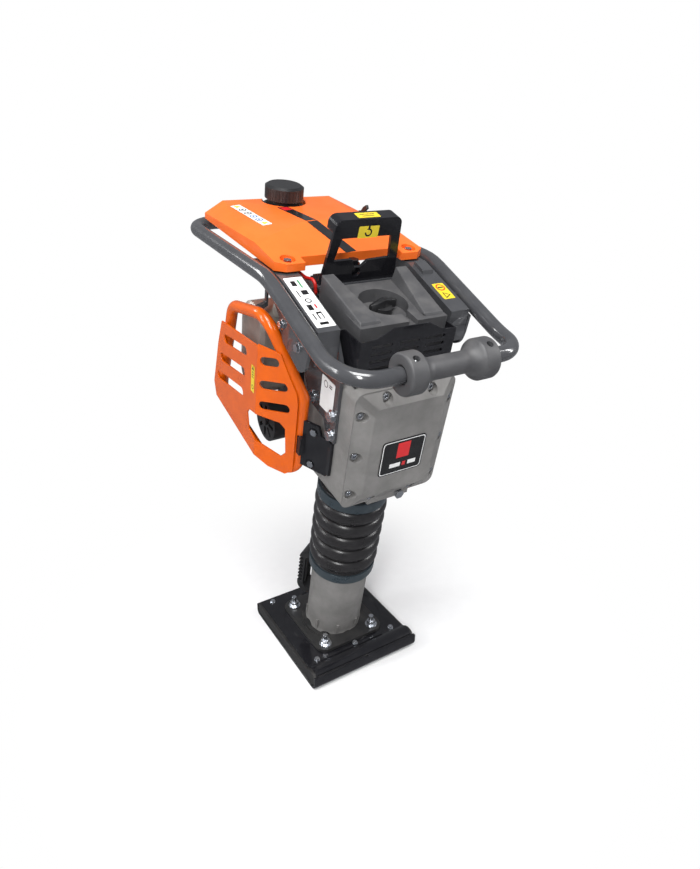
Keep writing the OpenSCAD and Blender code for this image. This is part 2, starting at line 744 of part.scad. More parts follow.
module handle_tube() color("#3a3b3e") lean() {
    pts = [[rail_x, rear_y, rear_z], [rail_x, bend_y, bend_z], [rail_x, dip_y, dip_z], [front_x, front_y, front_z],
        [-front_x, front_y, front_z], [-rail_x, dip_y, dip_z], [-rail_x, bend_y, bend_z], [-rail_x, rear_y, rear_z]];
    bent_tube(pts, [60, 150, 100, 54, 54, 100, 150, 60], tube_r, closed = true);
}

module roller() color("#3c3d40") lean() difference() {
    union() {
        rod_x(19, -roller_x, roller_x, front_y, front_z);
        for (s = [0, 1]) mirror([s, 0, 0]) rod_x(roller_r, roller_x - 30, roller_x, front_y, front_z);
    }
    rod_x(tube_r + fit, -roller_x - 1, roller_x + 1, front_y, front_z);
    for (s = [-1, 1]) translate([s * (roller_x - 15), front_y, front_z]) rotate([20, 0, 0]) {
        rod_z(6, 22, 60);
        rod_z(3.2, 0, 60);
    }
}

// One side's channel: an inverted trough under the tank's front, closed at its front end
module channel() {
    line = [for (y = [chan_front, bend_y - 10, bend_y + 20, chan_back]) [y, chan_z(y)]];
    inner = [for (p = line) p - [0, chan_t]];
    bottom = [for (i = [len(line) - 1 : -1 : 0]) line[i] - [0, chan_h]];
    difference() {
        side_slab(chan_x[0], chan_x[1]) polygon(concat(line, bottom));
        side_slab(chan_x[0] + chan_t, chan_x[1] - chan_t) polygon(concat(
            [inner[0] + [chan_t, 0]], [inner[1], inner[2], inner[3] + [1, 0]],
            [line[3] - [-1, chan_h + 1], bottom[1] - [0, 1], bottom[2] - [0, 1], bottom[3] + [chan_t, -1]]));
        rod_z(5, 860, 900, 130, 117);
    }
    box([chan_x[0], chan_front, chan_z(chan_front) - 62], [chan_x[1], chan_front + chan_t, chan_z(chan_front) - chan_h]);
    for (y = [-10, 150]) box([chan_x[1], y, rail_z(y) - 4], [rail_x - tube_r - 0.1, y + 20, rail_z(y) + 2]);
}

module left_channel() color("#3a3b3e") lean() {
    mirror([1, 0, 0]) channel();
    box([-chan_x[0], 78, 853], [chan_x[0], 120, 858.9]);
    front_slab(136, 144) polygon([[-chan_x[1], 852], [4 - chan_x[1], 852], [4 - chan_x[1], 806], [-177.8, 794],
        [-177.8, 806], [-chan_x[1], 813]]);
}

module right_channel() color("#3a3b3e") lean() {
    channel();
    side_slab(chan_x[0] + 9, chan_x[1] - 9) polygon([for (p = [[52, 0], [84, 0], [84, 7], [54, 7]])
        [p[0], chan_z(p[0]) + p[1]]]);
}

mount_yz = [[46, 814], [-18, 802]];
side_bolt_yz = [[13, 675], [-60, 677], [-63, 638]];

module side_plates() color("#2a2b2e") lean() for (s = [0, 1]) mirror([s, 0, 0]) difference() {
    side_slab(box_x, box_x + 6) difference() {
        polygon([[-74, 624], [-46, 624], [-30, 655], [24, 660], [50, 700], [68, 770], [72, 836], [30, 838], [-44, 824],
            [-72, 780]]);
        for (p = mount_yz) translate(p) circle(5);
    }
    for (p = side_bolt_yz) rod_x(6, 90, 130, p[0], p[1]);
}

module gussets() color("#3f4043") lean() for (s = [0, 1]) mirror([s, 0, 0]) difference() {
    side_slab(164, 170) difference() {
        polygon(concat([[-52, rail_z(-52) - tube_r - 0.5], [-50, 795]], arc(-22, 786, 26, 190, 270, 6),
            [[20, 776], [40, 784], [62, 826], [86, 842], [90, rail_z(90) - tube_r - 1.5]]));
        for (p = mount_yz) translate(p) circle(5);
    }
    bent_tube([[rail_x, rear_y, rear_z], [rail_x, bend_y, bend_z], [rail_x, dip_y, dip_z], [rail_x, -200, front_z]],
        [60, 150, 100, 54], tube_r + 0.1);
}

module rubber_mounts() color("#151517") lean() for (s = [0, 1]) mirror([s, 0, 0])
    for (p = mount_yz) difference() {
        rod_x(19, box_x + 6, 164, p[0], p[1]);
        rod_x(5, box_x, 170, p[0], p[1]);
    }

module frame_bolts() color("#cfd1d5") lean() for (s = [0, 1]) mirror([s, 0, 0]) {
    for (p = mount_yz) {
        rod_x(4.9, box_x + 6, 170, p[0], p[1]);
        translate([170, p[0], p[1]]) rotate([0, 90, 0]) hex_head(8);
    }
    for (p = side_bolt_yz) {
        rod_x(5.9, box_x, box_x + 6, p[0], p[1]);
        translate([box_x + 6, p[0], p[1]]) rotate([0, 90, 0]) hex_head(11);
    }
    rod_z(4.9, tank_under(117) - 4, tank_base + 9, 130, 117);
    translate([130, 117, tank_base + 9]) hex_head(8);
    mirror([s, 0, 0]) on_bracket() for (z = bracket_bolt[1]) {
        rod_y(3.9, -5.9, -3, bracket_bolt[0], z);
        translate([bracket_bolt[0], -3, z]) rotate([-90, 0, 0]) hex_head(8, false);
    }
}

// ---------------------------------------------------------------- fuel tank

// Corner points of one side of the tank, pulled in by a wall thickness
function tank_points(w) = [[tank_x - w, 112 + w, tank_under(112) + w], [140 - w, tank_y[0] + w, tank_under(98) + w],
    [tank_x - w, 446 - w, tank_under(446) + w], [146 - w, tank_y[1] - w, tank_under(460) + w],
    [tank_x - w, 112 + w, 899 - w], [140 - w, tank_y[0] + w, 898 - w], [tank_x - w, 196, 904 - w],
    [tank_x - w, 446 - w, 878 - w], [146 - w, tank_y[1] - w, 877 - w], [126 - w, 428 - w, 907 - w],
    [110 - w, 210, 912 - w], [30, 250, 917 - w]];

module tank_body(w) {
    hull() for (s = [-1, 1], p = tank_points(w)) translate([s * p[0], p[1], p[2]]) cube(0.2, center = true);
}

module fuel_tank() color("#f06414") lean() difference() {
    tank_body(0);
    difference() {
        tank_body(4);
        for (s = [-1, 1]) rod_z(18, 850, 930, s * 130, 117);
        box([-110, 90, 850], [110, 124, 930]);
        rod_z(cap_r + 10, cap_z - 12, 930, 0, cap_y);
    }
    for (s = [-1, 1]) {
        rod_z(5, 850, 930, s * 130, 117);
        rod_z(14, tank_base + 9, 930, s * 130, 117);
    }
    box([-104, 90, 850], [104, 119, 930]);
    rod_z(cap_r + 6, cap_z, 930, 0, cap_y);
    rod_z(24, cap_z - 20, 930, 0, cap_y);
}

module cap_gasket() color("#101012") lean() translate([0, cap_y, 0]) ring(cap_r - 6, 26, cap_z + fit, cap_z + 3);

module fuel_cap() color("#1f1e1c") lean() translate([0, cap_y, cap_z + 3 + fit]) {
    rod_z(cap_r - 7, 0, 16);
    difference() {
        rod_z(cap_r, 16, 40);
        for (a = [0 : 10 : 350]) rotate(a) rod_z(0.9, 18, 38, cap_r, 0);
    }
    translate([0, 0, 40]) cylinder(r1 = cap_r, r2 = cap_r - 6, h = 4);
    rod_z(23, -16, 0);
}

module fuel_tap() color("#b8a26a") lean() {
    z = tank_under(190);
    rod_z(8, z - 22, z - gap, 96, 190);
    bent_tube([[96, 190, z - 22], [96, 190, z - 46], [96, 162, 790], [84, 142, 790]], [0, 14, 12, 0], 4);
}

module throttle_lever() color("#2b2b2e") lean() difference() {
    union() {
        rod_x(9, 164, 171, throttle_yz[0], throttle_yz[1]);
        side_slab(164.5, 170.5) polygon([for (p = [[-4, 0], [4, 0], [-10, 20], [-20, 27], [-25, 21]]) throttle_yz + p]);
    }
    rod_x(4 + fit, 160, 175, throttle_yz[0], throttle_yz[1]);
}

// The rail clamp that carries the lever, with the cable running under the tank to the carburettor
module throttle_cable() color("#19191b") lean() {
    y = throttle_yz[0];
    difference() {
        stick([rail_x, y - 11, rail_z(y - 11)], [rail_x, y + 11, rail_z(y + 11)], tube_r + 4);
        stick([rail_x, y - 30, rail_z(y - 30)], [rail_x, y + 30, rail_z(y + 30)], tube_r + eps);
    }
    box([174, y - 9, rail_z(y) + tube_r + 1.5], [179, y + 9, throttle_yz[1] + 9]);
    rod_x(4, 162, 175, y, throttle_yz[1]);
    bent_tube([[166, y - 10, rail_z(y - 10) - tube_r + 1], [152, 318, 840], [118, 206, 826], [97, 130, 808]],
        [0, 24, 60, 0], 3);
}

// ---------------------------------------------------------------- side guard

guard_run = guard_front - [guard_x, guard_crease_y];
guard_turn = atan2(guard_run[1], guard_run[0]);
plate_x = guard_x - guard_r;
plate_y = guard_crease_y - guard_r * tan((90 + guard_turn) / 2);

module guard_tube() color("#f06414") lean()
    bent_tube([[guard_x, 215, 777], [guard_x, guard_crease_y, 822], [guard_front[0], guard_front[1], 683],
        [guard_front[0], guard_front[1], 496], [guard_x, guard_crease_y, 530], [guard_x, 274, 545]],
        [38, 40, 30, 30, 30, 36], guard_r, closed = true);

module slot(p, length, height, turn) {
    translate(p) rotate(turn) round_rect([-length / 2, -height / 2], [length / 2, height / 2], height / 2 - 0.1, 6);
}

module guard_plate() color("#f06414") lean() {
    side_slab(plate_x - 3.3, plate_x - 0.3) difference() {
        polygon([[plate_y, 766], [238, 735], [256, 680], [280, 575], [268, 545], [plate_y, 524]]);
        for (k = [0:2]) slot([170 + 12 * k, 717 - 49 * k], 112 + 12 * k, 18, -13);
        polygon([[plate_y, 622], [98, 615], [106, 602], [98, 570], [plate_y, 562]]);
    }
    translate([plate_x, plate_y, 0]) rotate(guard_turn) front_slab(-3.3, -0.3) difference() {
        polygon([[-1.5, 770], [44, 764], [64, 723], [80, 694], [84, 672], [84, 518], [68, 505], [30, 509], [-1.5, 525]]);
        slot([23, 742], 38, 18, 10.5);
        slot([33, 695], 58, 18, 10.5);
        slot([37, 651], 64, 18, 10.5);
        polygon([[-3, 622], [50, 621], [62, 611], [66, 556], [56, 544], [-3, 562]]);
    }
}

// Puts children on the slanted face of the guard's bracket: X along it, Y outwards
module on_bracket() {
    translate([-box_x - 6, -60, 0]) rotate(116.6) children();
}

bracket_bolt = [36, [549, 623]]; // along the bracket, and the two heights

module guard_bracket() color("#151517") lean() {
    box([-box_x - 6, -69, 545], [-box_x - 0.1, -53, 619]);
    difference() {
        on_bracket() difference() {
            front_slab(-6, 0) polygon([[0, 538], [61, 538], [61, 640], [25, 640], [19, 621], [0, 621]]);
            for (z = bracket_bolt[1]) {
                rod_y(4, -7, 1, bracket_bolt[0], z);
                rod_y(10, -3, 8, bracket_bolt[0], z);
            }
        }
        rod_z(guard_r + 0.3, 500, 660, guard_front[0], guard_front[1]);
    }
    difference() {
        box([-149, -15, 565], [-129, -2, 605]);
        rod_z(guard_r + eps, 500, 640, guard_front[0], guard_front[1]);
    }
}

sole_plate();
shoe_core();
shoe_top();
shoe_bolts();
foot_casting();
foot_studs();
leg_casting();
leg_handle();
spring_cylinder();
cylinder_cap();
lower_spring();
upper_spring();
bellows();
lower_clamp();
upper_clamp();
guide_cylinder();
guide_bush();
piston();
piston_rod();
gear_housing();
gear_cover();
cover_bolts();
badge_plate();
bearings();
crank_gear();
connecting_rod();
pinion();
clutch_drum();
clutch_shoes();
crankshaft();
engine();
muffler();
carburettor();
starter_cover();
starter_grip();
spark_plug();
plug_lead();
air_base();
air_cover();
filter_element();
air_knob();
air_guard();
lifting_bail();
handle_tube();
roller();
left_channel();
right_channel();
side_plates();
gussets();
rubber_mounts();
frame_bolts();
fuel_tank();
cap_gasket();
fuel_cap();
fuel_tap();
throttle_lever();
throttle_cable();
guard_tube();
guard_plate();
guard_bracket();
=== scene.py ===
# %% [markdown]
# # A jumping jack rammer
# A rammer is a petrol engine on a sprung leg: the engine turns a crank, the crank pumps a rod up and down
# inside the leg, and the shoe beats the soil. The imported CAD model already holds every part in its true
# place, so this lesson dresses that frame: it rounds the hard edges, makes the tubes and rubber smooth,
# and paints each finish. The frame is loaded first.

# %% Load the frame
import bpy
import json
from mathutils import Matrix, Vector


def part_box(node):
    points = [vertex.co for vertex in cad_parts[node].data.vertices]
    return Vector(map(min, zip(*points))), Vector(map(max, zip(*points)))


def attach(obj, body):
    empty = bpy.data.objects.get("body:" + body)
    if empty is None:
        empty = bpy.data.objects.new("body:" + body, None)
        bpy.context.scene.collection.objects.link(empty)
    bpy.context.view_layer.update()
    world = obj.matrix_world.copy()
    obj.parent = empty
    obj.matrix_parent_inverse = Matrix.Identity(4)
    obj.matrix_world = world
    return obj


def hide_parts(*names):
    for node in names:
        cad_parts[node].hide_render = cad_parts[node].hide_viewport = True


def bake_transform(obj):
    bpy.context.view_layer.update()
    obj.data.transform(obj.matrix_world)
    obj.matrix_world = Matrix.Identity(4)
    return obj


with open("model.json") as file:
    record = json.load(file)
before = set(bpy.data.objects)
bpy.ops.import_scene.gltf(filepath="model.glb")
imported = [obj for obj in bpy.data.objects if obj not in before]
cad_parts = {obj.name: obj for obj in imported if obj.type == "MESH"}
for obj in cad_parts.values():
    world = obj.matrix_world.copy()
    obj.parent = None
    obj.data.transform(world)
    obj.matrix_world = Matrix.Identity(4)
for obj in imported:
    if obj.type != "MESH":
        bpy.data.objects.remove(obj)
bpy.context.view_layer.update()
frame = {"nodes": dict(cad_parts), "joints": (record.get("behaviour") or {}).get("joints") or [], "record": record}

import json
import math
import bmesh
import bpy
from mathutils import Matrix, Vector
from mathutils.bvhtree import BVHTree

record = frame["record"]
body_of = {node: body for body, members in record["behaviour"]["bodies"].items() for node in members}
slot_of = {entry["node"]: entry["material_slot"] for entry in record["subparts"]}
joint_of = {joint["name"]: joint for joint in frame["joints"]}

# %% [markdown]
# ## The leaning frame
# Everything above the shoe leans forward. It is far easier to place a label or a tube in millimetres
# along the leg than in world metres, so `at` turns a leaning position into a world position. The two
# directions come from the joints in the record: the leg slides along its own axis, and the crank's height
# along that axis is known.

# %% Work out the leaning frame
MM = 0.001
CRANK_HEIGHT = 620
UP = Vector(joint_of["leg_slide"]["axis"]).normalized()
BACK = Vector((0, UP.z, -UP.y))
RIGHT = Vector((1, 0, 0))
foot = Vector(joint_of["crank_spin"]["pos_m"]) - UP * CRANK_HEIGHT * MM
LEAN = Matrix.Translation(foot) @ Matrix((RIGHT, BACK, UP)).transposed().to_4x4()


def at(x, y, z):
    """A point of the leaning frame, in millimetres, as a world point in metres."""
    return LEAN @ (Vector((x, y, z)) * MM)


def facing(way):
    """The turn that points a flat shape's own Z along `way`."""
    return way.to_track_quat("Z", "Y").to_matrix().to_4x4()


def picked(result, kind, key="geom"):
    """The vertices or the edges that a bmesh step made."""
    return [part for part in result[key] if isinstance(part, kind)]


print("lean:", round(math.degrees(math.atan2(-UP.y, UP.z)), 2), "degrees")
print("foot:", [round(v, 4) for v in foot])

# %% [markdown]
# ## Finishes
# A real finish is never one flat colour. Powder coat has a fine orange peel, cast metal is mottled and
# grainy, moulded plastic is leathery, and dust settles on whatever faces up. One graph can give all of
# that: a broad noise drifts between two shades, a fine noise makes the bump, and the upward part of the
# normal catches the dust. Each finish below is that graph with its own numbers. Values that are the same
# everywhere, such as the coat, are set on the shader itself.

# %% Build one finish
def finish(name, colour, shade, rough, metal=0.0, patch=30, grain=500, bump=0.1, depth=0.0003, coat=0.0,
           dust=0.0, stretch=(1, 1, 1)):
    """A procedural material: `rough` is the least and most roughness, `grain` the fineness of the bump."""
    material = bpy.data.materials.new(name)
    material.use_nodes = True
    tree = material.node_tree
    link = tree.links.new
    shader = tree.nodes["Principled BSDF"]
    shader.inputs["Metallic"].default_value = metal
    shader.inputs["Coat Weight"].default_value = coat
    shader.inputs["Coat Roughness"].default_value = 0.12

    def add(kind, **values):
        node = tree.nodes.new(kind)
        for key, value in values.items():
            if hasattr(node, key):
                setattr(node, key, value)
            else:
                node.inputs[key.replace("_", " ")].default_value = value
        return node

    def remap(source, low, high, to_low, to_high):
        node = add("ShaderNodeMapRange")
        for socket, value in zip(node.inputs[1:5], (low, high, to_low, to_high)):
            socket.default_value = value
        link(source, node.inputs[0])
        return node.outputs[0]

    def blend(amount, first, second):
        node = add("ShaderNodeMix", data_type="RGBA")
        link(amount, node.inputs["Factor"])
        for socket, value in ((node.inputs[6], first), (node.inputs[7], second)):
            if isinstance(value, tuple):
                socket.default_value = (*value, 1)
            else:
                link(value, socket)
        return node.outputs[2]

    coords = add("ShaderNodeTexCoord")
    mapping = add("ShaderNodeMapping")
    mapping.inputs["Scale"].default_value = stretch
    link(coords.outputs["Object"], mapping.inputs["Vector"])
    broad = add("ShaderNodeTexNoise", Scale=patch, Detail=6.0, Roughness=0.62)
    fine = add("ShaderNodeTexNoise", Scale=grain, Detail=3.0, Roughness=0.55)
    for noise in (broad, fine):
        link(mapping.outputs[0], noise.inputs["Vector"])
    drift = remap(broad.outputs["Fac"], 0.36, 0.66, 0, 1)
    paint = blend(drift, colour, shade)
    roughness = remap(broad.outputs["Fac"], 0.3, 0.7, *rough)
    geometry = add("ShaderNodeNewGeometry")
    if dust:
        split = add("ShaderNodeSeparateXYZ")
        link(geometry.outputs["Normal"], split.inputs[0])
        lying = remap(split.outputs["Z"], 0.2, 1.0, 0, dust)
        patchy = add("ShaderNodeMath", operation="MULTIPLY")
        link(lying, patchy.inputs[0])
        link(drift, patchy.inputs[1])
        paint = blend(patchy.outputs[0], paint, (0.42, 0.38, 0.33))
    relief = add("ShaderNodeBump", Strength=bump, Distance=depth)
    link(fine.outputs["Fac"], relief.inputs["Height"])
    link(paint, shader.inputs["Base Color"])
    link(roughness, shader.inputs["Roughness"])
    link(relief.outputs[0], shader.inputs["Normal"])
    return material


# %% Name the finishes after the record's material slots
finishes = {
    "black_steel": finish("black_powder_coat", (0.008, 0.008, 0.01), (0.012, 0.012, 0.014), (0.1, 0.18),
                          grain=420, bump=0.03),
    "infill": finish("black_infill", (0.012, 0.012, 0.012), (0.024, 0.023, 0.022), (0.4, 0.6), bump=0.3),
    "zinc": finish("zinc_plate", (0.68, 0.7, 0.74), (0.45, 0.47, 0.5), (0.16, 0.36), metal=1.0, patch=120,
                   grain=900, bump=0.06),
    "dark_casting": finish("dark_cast_iron", (0.022, 0.022, 0.023), (0.036, 0.035, 0.034), (0.35, 0.52),
                           metal=0.2, grain=700, bump=0.25, depth=0.0004),
    "grey_casting": finish("grey_cast_alloy", (0.235, 0.228, 0.22), (0.175, 0.17, 0.164), (0.4, 0.58),
                           metal=0.2, patch=16, grain=800, bump=0.35, depth=0.0005),
    "engine_casting": finish("engine_alloy", (0.2, 0.2, 0.205), (0.12, 0.12, 0.125), (0.4, 0.6), metal=0.6,
                             grain=900, bump=0.4, depth=0.0004),
    "black_plastic": finish("black_plastic", (0.012, 0.012, 0.013), (0.019, 0.019, 0.02), (0.3, 0.45),
                            grain=1100, bump=0.2),
    "grey_plastic": finish("grey_plastic", (0.054, 0.054, 0.057), (0.067, 0.067, 0.07), (0.42, 0.55),
                           grain=1300, bump=0.3, dust=0.05),
    "machined_steel": finish("machined_steel", (0.5, 0.5, 0.52), (0.34, 0.34, 0.36), (0.18, 0.34),
                             metal=1.0, grain=260, bump=0.06, stretch=(1, 1, 8)),
    "spring_steel": finish("painted_spring", (0.03, 0.07, 0.2), (0.02, 0.045, 0.13), (0.3, 0.5), coat=0.3),
    "rubber": finish("black_rubber", (0.014, 0.013, 0.014), (0.021, 0.02, 0.021), (0.24, 0.36), patch=22,
                     grain=700, bump=0.08),
    "band": finish("blued_band", (0.04, 0.056, 0.068), (0.062, 0.078, 0.09), (0.24, 0.38), metal=0.4,
                   grain=600),
    "bronze": finish("bronze", (0.45, 0.28, 0.1), (0.3, 0.18, 0.06), (0.25, 0.4), metal=1.0),
    "badge": finish("gloss_black", (0.006, 0.006, 0.008), (0.01, 0.01, 0.012), (0.12, 0.2), bump=0.02),
    "lining": finish("friction_lining", (0.09, 0.07, 0.05), (0.14, 0.1, 0.07), (0.7, 0.9), bump=0.5),
    "muffler_steel": finish("heat_stained_steel", (0.5, 0.47, 0.43), (0.34, 0.31, 0.28), (0.3, 0.5),
                            metal=0.5, patch=14, grain=500, bump=0.12),
    "lead_red": finish("red_rubber", (0.5, 0.015, 0.01), (0.36, 0.01, 0.008), (0.3, 0.45), bump=0.05),
    "filter_paper": finish("filter_paper", (0.55, 0.42, 0.2), (0.42, 0.3, 0.13), (0.8, 0.95), grain=300,
                           bump=0.6, stretch=(6, 1, 1)),
    "frame_grey": finish("grey_powder_coat", (0.045, 0.046, 0.05), (0.055, 0.056, 0.06), (0.13, 0.22),
                         coat=0.5, grain=380, bump=0.05),
    "tank_orange": finish("orange_plastic", (0.88, 0.16, 0.02), (0.82, 0.135, 0.014), (0.28, 0.4),
                          grain=900, bump=0.1, patch=9),
    "guard_orange": finish("orange_powder_coat", (0.64, 0.1, 0.001), (0.57, 0.085, 0.001), (0.16, 0.28),
                           coat=0.2, grain=380, bump=0.06),
    "tap_brass": finish("brass", (0.55, 0.4, 0.16), (0.38, 0.27, 0.1), (0.25, 0.45), metal=1.0),
}
prints = {
    "white": finish("label_white", (0.72, 0.72, 0.71), (0.66, 0.66, 0.66), (0.3, 0.42), bump=0.02),
    "yellow": finish("label_yellow", (0.72, 0.56, 0.03), (0.64, 0.48, 0.025), (0.3, 0.42), bump=0.02),
    "black": finish("label_black", (0.008, 0.008, 0.009), (0.014, 0.014, 0.015), (0.16, 0.24), bump=0.02),
    "red": finish("label_red", (0.62, 0.012, 0.016), (0.54, 0.01, 0.014), (0.28, 0.4), bump=0.02),
    "blue": finish("label_blue", (0.05, 0.16, 0.42), (0.04, 0.13, 0.36), (0.3, 0.42), bump=0.02),
    "green": finish("label_green", (0.03, 0.25, 0.09), (0.025, 0.2, 0.07), (0.3, 0.42), bump=0.02),
}
for node, piece in frame["nodes"].items():
    piece.data.materials.clear()
    piece.data.materials.append(finishes[slot_of[node]])
print("finishes:", len(finishes), "on", len(frame["nodes"]), "nodes")

# %% [markdown]
# ## Pieces and how they ride
# Every new piece does three things: it rides on a body, so that it moves with the machine; it hides the
# CAD node it stands for; and it takes the finish of its material slot. `keep` wraps those up. Weighted
# normals then let the broad faces stay flat while their small bevels catch the light.

# %% Keep a piece
def keep(bm, name, node, replaced=True, slot=None, shading=True, rides=True, paints=None):
    """Turns a bmesh into a piece that rides with `node`'s body, and stands for `node` when asked."""
    mesh = bpy.data.meshes.new(name)
    for material in paints or [finishes[slot or slot_of[node]]]:
        mesh.materials.append(material)
    bm.to_mesh(mesh)
    bm.free()
    piece = bpy.data.objects.new(name, mesh)
    bpy.context.scene.collection.objects.link(piece)
    mesh.polygons.foreach_set("use_smooth", [paints is None] * len(mesh.polygons))
    if shading:
        weighted = piece.modifiers.new("even shading", "WEIGHTED_NORMAL")
        weighted.keep_sharp = True
    if rides:
        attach(piece, body_of[node])
    if replaced:
        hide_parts(node)
    return piece


# %% [markdown]
# ## Rounding the hard parts
# Nothing that is cast, moulded or pressed has a knife edge, and it is the thin highlight along each edge
# that makes metal look like metal. The shapes are already right in the CAD nodes, so each one is copied,
# its loose triangles are merged and its flat faces dissolved into single faces, and a Bevel modifier
# rounds every real corner. A wide bevel suits a moulding, and a narrow one suits sheet metal.

# %% Round a CAD node
SHARP = math.radians(32)


def rounded(node, width, segments=2, merge=True):
    """A copy of a CAD node with its corners rounded by `width` millimetres."""
    bm = bmesh.new()
    bm.from_mesh(frame["nodes"][node].data)
    bmesh.ops.remove_doubles(bm, verts=bm.verts, dist=0.00012)
    if merge:
        bmesh.ops.dissolve_limit(bm, angle_limit=math.radians(0.6), verts=bm.verts, edges=bm.edges)
    piece = keep(bm, node + "_rounded", node, shading=False)
    bevel = piece.modifiers.new("rounded corners", "BEVEL")
    bevel.width = width * MM
    bevel.segments = segments
    bevel.limit_method = "ANGLE"
    bevel.angle_limit = SHARP
    bevel.miter_outer = "MITER_ARC"
    bevel.use_clamp_overlap = True
    weighted = piece.modifiers.new("even shading", "WEIGHTED_NORMAL")
    weighted.keep_sharp = True
    return piece


corner_widths = {
    "sole_plate": 1.6, "shoe_core": 0.8, "shoe_top": 1.0, "shoe_bolts": 0.5, "foot_casting": 3.0,
    "foot_studs": 0.6, "leg_casting": 2.0, "leg_handle": 2.0, "lower_clamp": 0.8, "upper_clamp": 0.8,
    "guide_cylinder": 1.0, "gear_housing": 3.0, "gear_cover": 2.6, "cover_bolts": 0.6, "engine": 1.2,
    "muffler": 2.0, "carburettor": 1.5, "starter_cover": 2.5, "starter_grip": 2.0, "spark_plug": 1.2,
    "air_base": 1.2, "air_cover": 2.6, "air_knob": 1.6, "air_guard": 0.6, "lifting_bail": 1.4,
    "left_channel": 1.4, "right_channel": 1.4, "side_plates": 1.0, "gussets": 1.2, "rubber_mounts": 1.6,
    "frame_bolts": 0.6, "fuel_tank": 4.5, "cap_gasket": 0.8, "fuel_cap": 1.2, "fuel_tap": 0.8,
    "throttle_lever": 1.0, "guard_plate": 0.9, "guard_bracket": 1.2,
}
soft_corners = [rounded(node, width, segments=4 if width > 4 else 2, merge=node != "lifting_bail")
                for node, width in corner_widths.items()]
print("rounded pieces:", len(soft_corners))

# %% [markdown]
# ## Bent tubes
# The handle and the side guard are each one tube, bent on a former and welded closed. A tube can be a
# curve with a bevel, but its bends would not be true arcs. A ring of points drives it better: it is
# extruded along each straight and spun round each bend's own centre, which is what the bending machine
# does.

# %% Sweep a ring along straights and bends
SEAM_GAP = 1


def bent_tube(name, node, points, bends, radius, sides=24):
    """A closed tube through leaning-frame points, with the bend radius at each, in millimetres."""
    spots = [at(*p) for p in points]
    seam = (spots[-1] + spots[0]) / 2
    spots = [seam, *spots, seam]
    bends = [0, *bends, 0]
    bm = bmesh.new()
    place = Matrix.Translation(seam) @ facing((spots[1] - seam).normalized())
    made = bmesh.ops.create_circle(bm, segments=sides, radius=radius * MM, matrix=place)
    first_ring = list({e for v in made["verts"] for e in v.link_edges})
    ring, here = first_ring, seam
    for i in range(1, len(spots)):
        way = (spots[i] - spots[i - 1]).normalized()
        angle = 0
        if i < len(spots) - 1:
            onward = (spots[i + 1] - spots[i]).normalized()
            angle = way.angle(onward)
        back = bends[i] * MM * math.tan(angle / 2)
        stop = spots[i] - way * (back if angle else SEAM_GAP * MM)
        moved = bmesh.ops.extrude_edge_only(bm, edges=ring)
        fresh = picked(moved, bmesh.types.BMVert)
        ring = [e for e in picked(moved, bmesh.types.BMEdge) if all(v in set(fresh) for v in e.verts)]
        bmesh.ops.translate(bm, verts=fresh, vec=stop - here)
        here = stop
        if angle:
            axis = way.cross(onward).normalized()
            centre = stop + axis.cross(way) * bends[i] * MM
            steps = max(3, int(math.degrees(angle) / 5))
            spun = bmesh.ops.spin(bm, geom=fresh + ring, cent=centre, axis=axis, angle=angle, steps=steps)
            ring = picked(spun, bmesh.types.BMEdge, "geom_last")
            here = spots[i] + onward * back
    bmesh.ops.bridge_loops(bm, edges=ring + first_ring)
    bmesh.ops.recalc_face_normals(bm, faces=bm.faces)
    return keep(bm, name, node)


# %% Bend the handle and the side guard
HANDLE_R, GUARD_X, GUARD_R = 14, -189, 11
rail = [(177, 490, 841, 60), (177, 98, 879, 150), (177, -118, 828, 100), (160, -192, 831, 54)]
handle_points = [(s * x, y, z) for s, run in ((1, rail), (-1, rail[::-1])) for x, y, z, _ in run]
handle_bends = [bend for run in (rail, rail[::-1]) for *_, bend in run]
handle = bent_tube("handle_loop", "handle_tube", handle_points, handle_bends, HANDLE_R, sides=32)
guard_points = [(GUARD_X, 215, 777), (GUARD_X, 72, 822), (-138, 4, 683), (-138, 4, 496), (GUARD_X, 72, 530),
                (GUARD_X, 274, 545)]
guard = bent_tube("guard_loop", "guard_tube", guard_points, [38, 40, 30, 30, 30, 36], GUARD_R)
print("handle loop faces:", len(handle.data.polygons), "guard loop faces:", len(guard.data.polygons))

# %% [markdown]
# ## Turned shapes
# The bellows, the front roller and the recess round the wing knob are all shapes of revolution, so each
# is drawn as half a profile and spun. The bellows crosses the joint between the leg and the machine, so
# it rides on neither body: it is a still shape that does not follow the leg's travel.

# %% Spin a profile
def turned(name, node, profile, origin, axis, steps=64, **how):
    """Spins a closed line of (radius, height) points, in millimetres, round an axis through a world point."""
    side = axis.orthogonal().normalized()
    bm = bmesh.new()
    spots = [bm.verts.new(origin + side * r * MM + axis * h * MM) for r, h in profile]
    lines = [bm.edges.new(pair) for pair in zip(spots, spots[1:] + spots[:1])]
    bmesh.ops.spin(bm, geom=spots + lines, cent=origin, axis=axis, angle=2 * math.pi, steps=steps,
                   use_merge=True)
    bmesh.ops.remove_doubles(bm, verts=bm.verts, dist=0.00001)
    bmesh.ops.recalc_face_normals(bm, faces=bm.faces)
    return keep(bm, name, node, **how)


